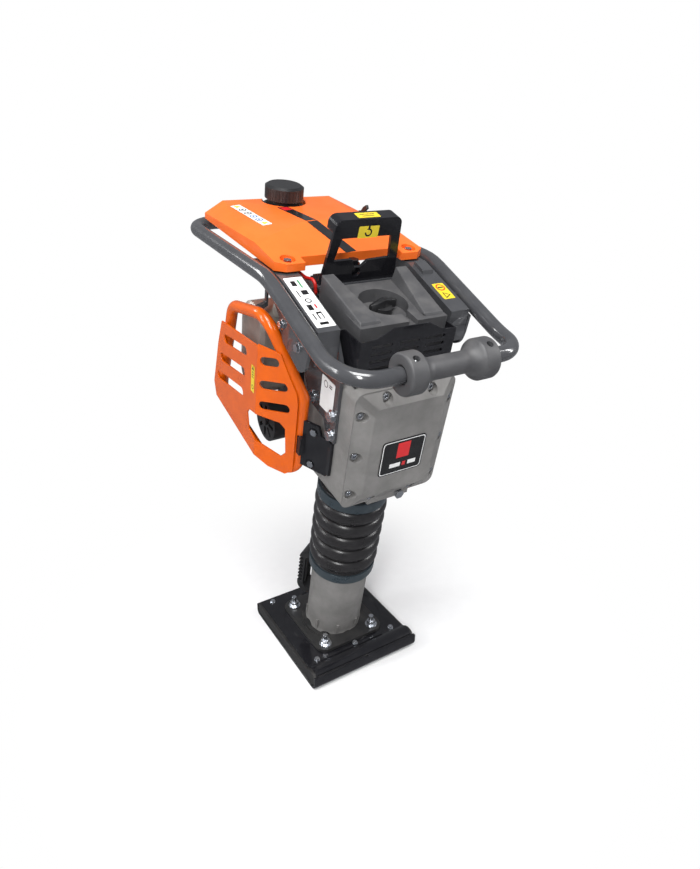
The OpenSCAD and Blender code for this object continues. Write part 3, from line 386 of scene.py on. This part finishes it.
# %% The bellows
LEG_TOP, CUFF_Z, LEG_R, CUFF_T = 226, 414, 66.1, 6
FOLDS, FOLD_R, VALLEY, RUBBER_T, ARC_STEPS = 5, 78.6, 12, 3.2, 12
low = LEG_TOP + 3
pitch = (CUFF_Z - low) / FOLDS
wave = []
for fold in range(FOLDS):
    for k in range(ARC_STEPS + 1):
        turn = math.pi * k / ARC_STEPS
        wave.append((FOLD_R - VALLEY + VALLEY * math.sin(turn),
                     low + (fold + 0.5 - 0.47 * math.cos(turn)) * pitch))
cuff_r = LEG_R + CUFF_T
outside = [(cuff_r - 0.5, LEG_TOP - 24), (cuff_r, LEG_TOP - 22), (cuff_r, low - 1)] + wave
outside += [(cuff_r, CUFF_Z + 1), (cuff_r, CUFF_Z + 28), (cuff_r - 0.5, CUFF_Z + 30)]
inside = [(LEG_R, CUFF_Z + 30), (LEG_R, CUFF_Z)] + [(r - RUBBER_T, h) for r, h in wave[::-1]]
inside += [(LEG_R, low), (LEG_R, LEG_TOP - 24)]
bellows = turned("bellows_folds", "bellows", outside + inside, at(0, 0, 0), UP, steps=72,
                 shading=False, rides=False)
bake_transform(bellows)
print("bellows faces:", len(bellows.data.polygons))

# %% The front roller
roller_low, roller_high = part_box("roller")
roller_half = roller_high.x / MM
roller_r = (roller_high.z - roller_low.z) / 2 / MM
roller_axis = Vector(joint_of["roller_spin"]["pos_m"])
BORE_R, GRIP_R = 14.2, 19
half = [(BORE_R, 0), (GRIP_R, 0), (GRIP_R, 34), (20.5, 41), (24, 48), (roller_r - 5, 54),
        (roller_r - 1.5, 57), (roller_r, 60), (roller_r, roller_half - 4),
        (roller_r - 1.2, roller_half - 1.2), (roller_r - 4, roller_half), (18, roller_half),
        (16, roller_half - 2), (BORE_R, roller_half - 2)]
whole = [(r, -h) for r, h in half[:0:-1]] + half[1:]
roller = turned("front_roller_moulding", "roller", whole, roller_axis, RIGHT, steps=64)
print("roller faces:", len(roller.data.polygons))

# %% [markdown]
# The roller is clamped by a screw at each end, set in a deep round pocket that faces up and forward. A
# Boolean cuts the pockets from the turned shape, because a spin alone can only make what is the same all
# the way round.

# %% Cut the screw pockets
def pocket(target, centre, direction, radius, depth):
    """Cuts a round pocket whose floor is at `centre`, opening along `direction`."""
    bm = bmesh.new()
    place = Matrix.Translation(centre + direction * depth * MM / 2) @ facing(direction)
    bmesh.ops.create_cone(bm, cap_ends=True, segments=24, radius1=radius * MM, radius2=radius * MM,
                          depth=depth * MM, matrix=place)
    mesh = bpy.data.meshes.new("cutter")
    bm.to_mesh(mesh)
    bm.free()
    cutter = bpy.data.objects.new("cutter", mesh)
    bpy.context.scene.collection.objects.link(cutter)
    boolean = target.modifiers.new("pocket", "BOOLEAN")
    boolean.operation, boolean.object, boolean.solver = "DIFFERENCE", cutter, "EXACT"
    bpy.context.view_layer.update()
    cut = bpy.data.meshes.new_from_object(target.evaluated_get(bpy.context.evaluated_depsgraph_get()))
    target.modifiers.clear()
    target.data = cut
    bpy.data.objects.remove(cutter)


def pulled(bm, edges, way):
    """Extrudes a ring of edges along `way`, and gives the new ring."""
    made = bmesh.ops.extrude_edge_only(bm, edges=edges)
    fresh = picked(made, bmesh.types.BMVert)
    bmesh.ops.translate(bm, verts=fresh, vec=way)
    return [e for e in picked(made, bmesh.types.BMEdge) if all(v in set(fresh) for v in e.verts)]


def screw(name, node, centre, direction, radius, height):
    """A cap screw with a hexagon socket, standing on `centre`."""
    bm = bmesh.new()
    place = Matrix.Translation(centre) @ facing(direction)
    bmesh.ops.create_circle(bm, cap_ends=True, segments=6, radius=radius * 0.55 * MM,
                            matrix=place @ Matrix.Translation((0, 0, height * 0.45 * MM)))
    top_edges = pulled(bm, bm.edges[:], direction * height * 0.55 * MM)
    outer = bmesh.ops.create_circle(bm, segments=24, radius=radius * MM,
                                    matrix=place @ Matrix.Translation((0, 0, height * MM)))
    outer_edges = list({e for v in outer["verts"] for e in v.link_edges})
    bmesh.ops.bridge_loops(bm, edges=top_edges + outer_edges)
    base_edges = pulled(bm, outer_edges, -direction * height * MM)
    bmesh.ops.edgeloop_fill(bm, edges=base_edges)
    bmesh.ops.recalc_face_normals(bm, faces=bm.faces)
    return keep(bm, name, node, replaced=False, slot="zinc")


POCKET_TILT, POCKET_FLOOR, SCREW_INSET = math.radians(20), 22, 15
pocket_way = (UP * math.cos(POCKET_TILT) - BACK * math.sin(POCKET_TILT)).normalized()
for side in (-1, 1):
    spot = roller_axis + RIGHT * side * (roller_half - SCREW_INSET) * MM
    pocket(roller, spot + pocket_way * POCKET_FLOOR * MM, pocket_way, radius=6, depth=40)
    screw(f"roller_screw_{side + 1}", "roller", spot + pocket_way * (POCKET_FLOOR + 0.2) * MM, pocket_way,
          radius=5, height=5)
even = roller.modifiers.new("even shading", "WEIGHTED_NORMAL")
even.keep_sharp = True
print("roller pockets cut, faces now:", len(roller.data.polygons))

# %% The springs inside the leg
def coil(name, node, radius, wire, z0, z1, turns, steps=24):
    """A wire ring spun with a rise, which is a coil spring."""
    bm = bmesh.new()
    place = Matrix.Translation(at(radius, 0, z0 + wire)) @ facing(BACK)
    made = bmesh.ops.create_circle(bm, segments=10, radius=wire * MM, matrix=place)
    edges = list({e for v in made["verts"] for e in v.link_edges})
    rise = UP * (z1 - z0 - 2 * wire) * MM / (turns * steps)
    spun = bmesh.ops.spin(bm, geom=made["verts"] + edges, cent=at(0, 0, z0 + wire), axis=UP, dvec=rise,
                          angle=2 * math.pi * turns, steps=turns * steps)
    for loop in (edges, picked(spun, bmesh.types.BMEdge, "geom_last")):
        bmesh.ops.edgeloop_fill(bm, edges=loop)
    bmesh.ops.recalc_face_normals(bm, faces=bm.faces)
    return keep(bm, name, node, shading=False, rides=False)


SPRING_R, WIRE, TURNS = 34, 4.4, 7
LOWER_ENDS, UPPER_ENDS = (31, 199), (226, 391)
lower = coil("lower_spring_coil", "lower_spring", SPRING_R, WIRE, *LOWER_ENDS, TURNS)
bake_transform(lower)
upper = coil("upper_spring_coil", "upper_spring", SPRING_R, WIRE, *UPPER_ENDS, TURNS)
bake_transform(upper)
print("springs:", len(lower.data.polygons), "faces each")

# %% [markdown]
# ## Cord and boot
# Two small things finish the machine. The starter cord runs from the cover to the grip as a short still
# cylinder on neither body. A rubber boot fills the recess round the filler neck.

# %% The starter cord and the filler boot
CORD_X, CORD_Z, CORD_R = 60, 770, 2.2
CORD_START, CORD_END = 230, 249
bm = bmesh.new()
cord_low, cord_high = at(CORD_X, CORD_START, CORD_Z), at(CORD_X, CORD_END, CORD_Z)
bmesh.ops.create_cone(bm, cap_ends=True, segments=12, radius1=CORD_R * MM, radius2=CORD_R * MM,
                      depth=(CORD_END - CORD_START) * MM,
                      matrix=Matrix.Translation((cord_low + cord_high) / 2) @ facing(BACK))
cord = keep(bm, "starter_cord", "starter_grip", replaced=False, slot="black_plastic", shading=False,
            rides=False)
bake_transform(cord)
boot_profile = [(37, 0.4), (46.4, 0.4), (46.4, 3), (44, 5), (40, 5), (37, 3)]
boot = turned("filler_boot", "fuel_tank", boot_profile, at(0, 400, 897), UP, slot="rubber", replaced=False)
print("cord faces:", len(cord.data.polygons), "boot faces:", len(boot.data.polygons))

# %% [markdown]
# ## Labels
# The machine carries a few printed labels. Each is a thin rounded plate laid just above the surface it is
# stuck to, with plain marks on it: discs, triangles and bars stand for the pictograms, and no words or
# names are copied. `decal` finds the surface by casting a ray at the CAD node, so a label always lies on
# its facet.

# %% Lay labels on surfaces
OUTLINES = {"disc": (20, 0.5, 0), "triangle": (3, 0.577, 0), "bar": (4, math.sqrt(0.5), math.pi / 4)}
LAYER, LABEL_T = 0.04, 0.12


def surface_of(node, start, ray):
    """Where a ray meets a CAD node, with the surface's normal turned towards the ray's start."""
    bm = bmesh.new()
    bm.from_mesh(frame["nodes"][node].data)
    tree = BVHTree.FromBMesh(bm)
    bm.free()
    hit, normal, _, _ = tree.ray_cast(start, ray)
    return hit, -normal if normal.dot(ray) > 0 else normal


def decal(name, node, start, ray, across, size, base, marks=(), lift=0.35, round_off=2.0):
    """A label of `size` mm where a ray meets `node`; a mark is (kind, x, y, width, height, colour)."""
    hit, normal = surface_of(node, start, ray)
    u = (across - normal * across.dot(normal)).normalized()
    place = Matrix.Translation(hit) @ Matrix((u, normal.cross(u), normal)).transposed().to_4x4()
    bm = bmesh.new()
    used = []
    for layer, (kind, x, y, w, h, colour) in enumerate([("bar", 0, 0, *size, base), *marks]):
        sides, radius, spin = OUTLINES[kind]
        made = bmesh.ops.create_circle(bm, segments=sides, radius=radius * MM, cap_ends=True,
                                       matrix=Matrix.Rotation(spin, 4, "Z"))
        face = made["verts"][0].link_faces[0]
        spread = Matrix.Translation((x * MM, y * MM, 0)) @ Matrix.Diagonal((w, h, 1, 1))
        bmesh.ops.transform(bm, matrix=spread, verts=made["verts"])
        if layer == 0:
            bmesh.ops.bevel(bm, geom=made["verts"], offset=round_off * MM, segments=3, profile=0.5,
                            affect="VERTICES", material=-1)
            face = max(bm.faces, key=lambda f: f.calc_area())
        bmesh.ops.translate(bm, verts=list(face.verts), vec=(0, 0, (lift + LAYER * layer) * MM))
        if colour not in used:
            used.append(colour)
        face.material_index = used.index(colour)
        if face.normal.z < 0:
            face.normal_flip()
        side = bmesh.ops.extrude_face_region(bm, geom=[face])
        bmesh.ops.translate(bm, verts=picked(side, bmesh.types.BMVert), vec=(0, 0, LABEL_T * MM))
    bmesh.ops.transform(bm, matrix=place, verts=bm.verts)
    bmesh.ops.recalc_face_normals(bm, faces=bm.faces)
    return keep(bm, name, node, replaced=False, shading=False, paints=[prints[c] for c in used])


def disc(x, y, across, colour):
    """A round mark."""
    return "disc", x, y, across, across, colour


def triangle(x, y, across, colour):
    """A three-sided mark."""
    return "triangle", x, y, across, across, colour


def bar(x, y, width, height, colour):
    """A plain printed block."""
    return "bar", x, y, width, height, colour


# %% The labels on the tank
DOWN, FORWARD = -UP, -BACK
HIGH, FAR = 1000, 300
spots = list(zip((-33, -11, 11, 33), ("black", "black", "blue", "blue")))
tank_marks = [triangle(-56, 0, 15, "yellow"), triangle(54, 0, 15, "yellow")]
tank_marks += [disc(x, 0, 15, c) for x, c in spots]
tank_marks += [disc(x, 0, 11, "white") for x, _ in spots]
tank_marks += [disc(x, 0, 5, c) for x, c in spots]
decal("tank_pictograms", "fuel_tank", at(-110, 322, HIGH), DOWN, FORWARD + RIGHT * 0.1, (132, 21), "white",
      tank_marks)
STRIPE_SLANT, STRIPE_X, STRIPE_W = 0.12, -20, 24
stripes = [(303, 104, [bar(-38, 0, 22, 19, "red")]), (184, 130, [])]
for number, (y, length, marks) in enumerate(stripes):
    middle = at(STRIPE_X + STRIPE_SLANT * (stripes[0][0] - y), y, HIGH)
    decal(f"tank_stripe_{number}", "fuel_tank", middle, DOWN, FORWARD + RIGHT * STRIPE_SLANT,
          (length, STRIPE_W), "black", marks, round_off=0.5)
print("tank labels:", 1 + len(stripes))

# %% The labels on the channels and the bail
channel_marks = [
    bar(-48, 6, 22, 3, "green"), bar(-50, -5, 14, 9, "black"), bar(-24, 4, 12, 12, "black"),
    bar(-22, -9, 18, 2, "black"), disc(-2, 0, 12, "black"), disc(-2, 0, 8, "white"), bar(14, 6, 10, 3, "red"),
    bar(16, -5, 14, 9, "black"), bar(38, 3, 18, 10, "black"), bar(40, 3, 13, 6, "white"),
    bar(40, -9, 16, 2, "black"), bar(58, 0, 6, 16, "black"),
]
decal("channel_pictograms", "left_channel", at(-136, 20, HIGH), DOWN, FORWARD, (134, 36), "white",
      channel_marks)
decal("channel_warning", "right_channel", at(137, 0, HIGH), DOWN, FORWARD, (46, 26), "yellow",
      [disc(-11, 0, 19, "red"), disc(-11, 0, 14, "yellow"), bar(-11, 0, 3, 12, "black"),
       triangle(12, -1, 17, "black"), triangle(12, -1, 11, "yellow")])
decal("bail_top_label", "lifting_bail", at(0, 80, HIGH + 100), DOWN, RIGHT, (46, 18), "yellow",
      [bar(0, 3, 30, 2, "black"), bar(0, -3, 24, 2, "black")])
decal("bail_front_label", "lifting_bail", at(0, -100, 955), BACK, RIGHT, (42, 22), "yellow",
      [disc(0, -1, 15, "black"), disc(0, -1, 9, "yellow"), bar(-5, 2, 7, 5, "yellow"),
       bar(0, 8, 4, 6, "black")])
print("channel and bail labels: 4")

# %% The labels on the side, the guard and the gearbox
decal("side_label", "side_plates", at(-FAR, -36, 706), RIGHT, FORWARD, (46, 66), "white",
      [disc(-8, 20, 14, "black"), disc(-8, 20, 11, "white"), bar(9, 20, 10, 2, "black"),
       bar(9, 24, 10, 2, "black")])
decal("guard_label", "guard_plate", at(-FAR, 84, 690), RIGHT, FORWARD, (14, 56), "yellow",
      [disc(0, -17, 9, "black"), disc(0, -17, 6, "yellow"), bar(0, 4, 7, 2, "black"),
       bar(0, 9, 7, 2, "black"), bar(0, 14, 7, 2, "black"), triangle(0, 22, 9, "black")])
decal("badge_face", "badge_plate", at(0, -FAR, 610), BACK, RIGHT, (93, 74), "white", lift=0.05, round_off=6)
decal("badge_field", "badge_plate", at(0, -FAR, 610), BACK, RIGHT, (89.5, 70.5), "black",
      [bar(0, 14, 28, 34, "red"), bar(-14, -19, 24, 9, "white"), bar(6, -19, 7, 9, "red"),
       bar(24, -19, 18, 9, "white")], lift=0.2, round_off=5)
print("side, guard and gearbox labels: 4")

# %% [markdown]
# ## The studio
# The machine stands on a pale floor that fades to plain white, with a white sky behind, so its outline
# stays clean. Glossy black steel is drawn by what it reflects, so the sky that lights it is a dim grey,
# and a few small bright lamps make the narrow highlights along the tubes. A larger lamp overhead fills
# the tank and the shoe.

# %% A soft lamp
def area_light(name, spot, target, size, power):
    """A soft lamp of `size` (x, y) metres at `spot` that shines at `target`."""
    lamp = bpy.data.lights.new(name, "AREA")
    lamp.shape, lamp.energy = "RECTANGLE", power
    lamp.size, lamp.size_y = size
    holder = bpy.data.objects.new(name, lamp)
    bpy.context.scene.collection.objects.link(holder)
    holder.location = spot
    holder.rotation_euler = (Vector(target) - Vector(spot)).to_track_quat("-Z", "Y").to_euler()


MIDDLE = (0, -0.1, 0.55)
area_light("overhead", (-0.5, -0.9, 2.8), MIDDLE, (1.1, 1.1), 56)
area_light("key", (-1.5, -1.9, 2.1), MIDDLE, (0.28, 1.2), 44)
area_light("right_strip", (2.0, -1.2, 1.7), MIDDLE, (0.22, 1.4), 26)
area_light("left_strip", (-2.2, 0.4, 1.5), MIDDLE, (0.22, 1.4), 16)
area_light("rear", (-1.7, 2.3, 2.4), MIDDLE, (0.7, 0.9), 24)
print("lamps:", len(bpy.data.lights))

# %% [markdown]
# The floor takes the soft shadow under the shoe, and from `FADE_START` to `FADE_END` metres out it turns
# into a plain white glow, but only as the camera sees it. It is left out of reflections, so that the
# black steel mirrors the dim sky and not a white floor.

# %% The floor
FLOOR_R, FADE_START, FADE_END = 60, 0.2, 0.75
bm = bmesh.new()
bmesh.ops.create_circle(bm, cap_ends=True, segments=96, radius=FLOOR_R)
floor_mesh = bpy.data.meshes.new("studio_floor")
bm.to_mesh(floor_mesh)
bm.free()
floor = bpy.data.objects.new("studio_floor", floor_mesh)
bpy.context.scene.collection.objects.link(floor)
pale = finish("pale_floor", (0.9, 0.9, 0.9), (0.88, 0.88, 0.88), (0.6, 0.7), bump=0.02)
floor_mesh.materials.append(pale)
nodes, link = pale.node_tree.nodes, pale.node_tree.links.new
distance = nodes.new("ShaderNodeVectorMath")
distance.operation = "LENGTH"
link(next(n for n in nodes if n.type == "TEX_COORD").outputs["Object"], distance.inputs[0])
fade = nodes.new("ShaderNodeMapRange")
fade.interpolation_type = "SMOOTHSTEP"
fade.inputs["From Min"].default_value = FADE_START
fade.inputs["From Max"].default_value = FADE_END
link(distance.outputs["Value"], fade.inputs["Value"])
seen = nodes.new("ShaderNodeMath")
seen.operation = "MULTIPLY"
link(fade.outputs["Result"], seen.inputs[0])
link(nodes.new("ShaderNodeLightPath").outputs["Is Camera Ray"], seen.inputs[1])
mix = nodes.new("ShaderNodeMixShader")
link(seen.outputs[0], mix.inputs["Fac"])
link(nodes["Principled BSDF"].outputs[0], mix.inputs[1])
link(nodes.new("ShaderNodeEmission").outputs[0], mix.inputs[2])
link(mix.outputs[0], nodes["Material Output"].inputs["Surface"])
floor.visible_glossy = False
print("floor fades out at", FADE_END, "m")

# %% The sky
SKY_GREY = (0.25, 0.255, 0.27, 1)
world = bpy.data.worlds.new("studio")
bpy.context.scene.world = world
world.use_nodes = True
sky = world.node_tree
backdrop = sky.nodes.new("ShaderNodeMix")
backdrop.data_type = "RGBA"
backdrop.inputs[6].default_value = SKY_GREY
backdrop.inputs[7].default_value = (1, 1, 1, 1)
sky.links.new(sky.nodes.new("ShaderNodeLightPath").outputs["Is Camera Ray"], backdrop.inputs["Factor"])
sky.links.new(backdrop.outputs[2], sky.nodes["Background"].inputs["Color"])
bpy.context.scene.view_settings.view_transform = "Standard"
print("sky:", SKY_GREY[:3])

# %% The camera
CAMERA_SPOT, LOOK_DOWN, LOOK_RIGHT = (-0.629, -1.108, 1.128), 24.5, 31.5
camera_data = bpy.data.cameras.new("camera")
camera = bpy.data.objects.new("camera", camera_data)
bpy.context.scene.collection.objects.link(camera)
camera.location = CAMERA_SPOT
camera.rotation_euler = (math.radians(90 - LOOK_DOWN), 0, math.radians(-LOOK_RIGHT))
camera_data.lens = 26.26
camera_data.sensor_width = 36
bpy.context.scene.camera = camera
print("camera at", CAMERA_SPOT)
